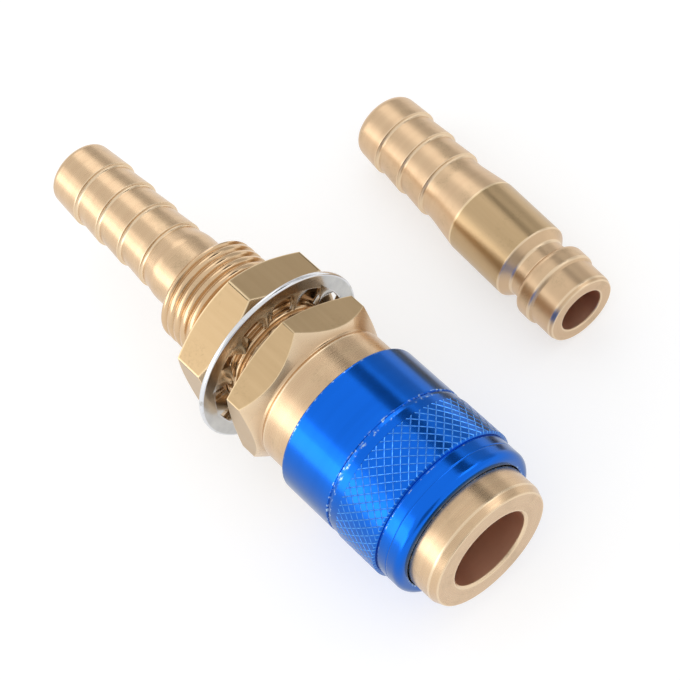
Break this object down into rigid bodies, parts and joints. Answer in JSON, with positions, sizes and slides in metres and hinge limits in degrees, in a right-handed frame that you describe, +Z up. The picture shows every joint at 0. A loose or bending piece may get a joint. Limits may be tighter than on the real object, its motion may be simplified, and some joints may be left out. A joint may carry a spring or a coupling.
{
  "type": "liquid cooling quick coupling",
  "caption": "Panel-mount liquid cooling quick coupling: brass ball-lock socket with hose barb, panel nut, lock washer and knurled blue sleeve, with its loose brass plug.",
  "frame": {"origin": "on the socket's axis at the rear face of its hexagon, where the panel seats", "axes": "+X along the socket's axis towards its mouth, +Z up, +Y towards the loose plug"},
  "size_m": [0.0933, 0.0613, 0.0296],
  "materials": {
    "turned_brass": "fine turned, semi-bright",
    "bar_brass": "drawn hexagon bar, satin",
    "valve_brass": "turned",
    "zinc_steel": "zinc plated, soft grey",
    "blue_anodised": "blue anodised, glossy, knurled band",
    "spring_steel": "drawn spring wire",
    "ball_steel": "polished",
    "seal_rubber": "matt"
  },
  "bodies": {
    "root": {"rear_body": "turned_brass", "nose_body": "turned_brass", "sleeve_spring": "spring_steel", "valve_spring": "spring_steel", "valve_guide": "valve_brass", "nose_seal": "seal_rubber", "body_seal": "seal_rubber", "plug": "turned_brass"},
    "sleeve": {"sleeve": "blue_anodised"},
    "valve": {"valve_poppet": "valve_brass", "poppet_seal": "seal_rubber"},
    "washer": {"lock_washer": "zinc_steel"},
    "nut": {"mounting_nut": "bar_brass"},
    "ball_1": {"locking_ball_1": "ball_steel"},
    "ball_2": {"locking_ball_2": "ball_steel"},
    "ball_3": {"locking_ball_3": "ball_steel"},
    "ball_4": {"locking_ball_4": "ball_steel"},
    "ball_5": {"locking_ball_5": "ball_steel"},
    "ball_6": {"locking_ball_6": "ball_steel"},
    "ball_7": {"locking_ball_7": "ball_steel"},
    "ball_8": {"locking_ball_8": "ball_steel"}
  },
  "joints": [
    {"name": "sleeve_slide", "type": "slide", "parent": "root", "child": "sleeve", "axis": [-1, 0, 0], "range_m": [0, 0.0034], "stiffness_N_per_m": 1500, "springref_m": -0.003, "deforming": ["sleeve_spring"]},
    {"name": "valve_slide", "type": "slide", "parent": "root", "child": "valve", "axis": [-1, 0, 0], "range_m": [0, 0.004], "stiffness_N_per_m": 500, "springref_m": -0.003, "deforming": ["valve_spring"]},
    {"name": "washer_slide", "type": "slide", "parent": "root", "child": "washer", "axis": [1, 0, 0], "range_m": [-0.0076, 0.0016]},
    {"name": "nut_turn", "type": "hinge", "parent": "washer", "child": "nut", "pos_m": [-0.008, 0, 0], "axis": [1, 0, 0], "range_deg": [-1800, 360]},
    {"name": "ball_1_slide", "type": "slide", "parent": "root", "child": "ball_1", "axis": [0, 0, 1], "range_m": [0, 0.001]},
    {"name": "ball_2_slide", "type": "slide", "parent": "root", "child": "ball_2", "axis": [0, -0.7071, 0.7071], "range_m": [0, 0.001]},
    {"name": "ball_3_slide", "type": "slide", "parent": "root", "child": "ball_3", "axis": [0, -1, 0], "range_m": [0, 0.001]},
    {"name": "ball_4_slide", "type": "slide", "parent": "root", "child": "ball_4", "axis": [0, -0.7071, -0.7071], "range_m": [0, 0.001]},
    {"name": "ball_5_slide", "type": "slide", "parent": "root", "child": "ball_5", "axis": [0, 0, -1], "range_m": [0, 0.001]},
    {"name": "ball_6_slide", "type": "slide", "parent": "root", "child": "ball_6", "axis": [0, 0.7071, -0.7071], "range_m": [0, 0.001]},
    {"name": "ball_7_slide", "type": "slide", "parent": "root", "child": "ball_7", "axis": [0, 1, 0], "range_m": [0, 0.001]},
    {"name": "ball_8_slide", "type": "slide", "parent": "root", "child": "ball_8", "axis": [0, 0.7071, 0.7071], "range_m": [0, 0.001]}
  ],
  "couplings": [
    {"joint": "washer_slide", "follows": "nut_turn", "m_per_rad": 0.00023873},
    {"joint": "ball_1_slide", "follows": "sleeve_slide", "ratio": 0.29},
    {"joint": "ball_2_slide", "follows": "sleeve_slide", "ratio": 0.29},
    {"joint": "ball_3_slide", "follows": "sleeve_slide", "ratio": 0.29},
    {"joint": "ball_4_slide", "follows": "sleeve_slide", "ratio": 0.29},
    {"joint": "ball_5_slide", "follows": "sleeve_slide", "ratio": 0.29},
    {"joint": "ball_6_slide", "follows": "sleeve_slide", "ratio": 0.29},
    {"joint": "ball_7_slide", "follows": "sleeve_slide", "ratio": 0.29},
    {"joint": "ball_8_slide", "follows": "sleeve_slide", "ratio": 0.29}
  ]
}
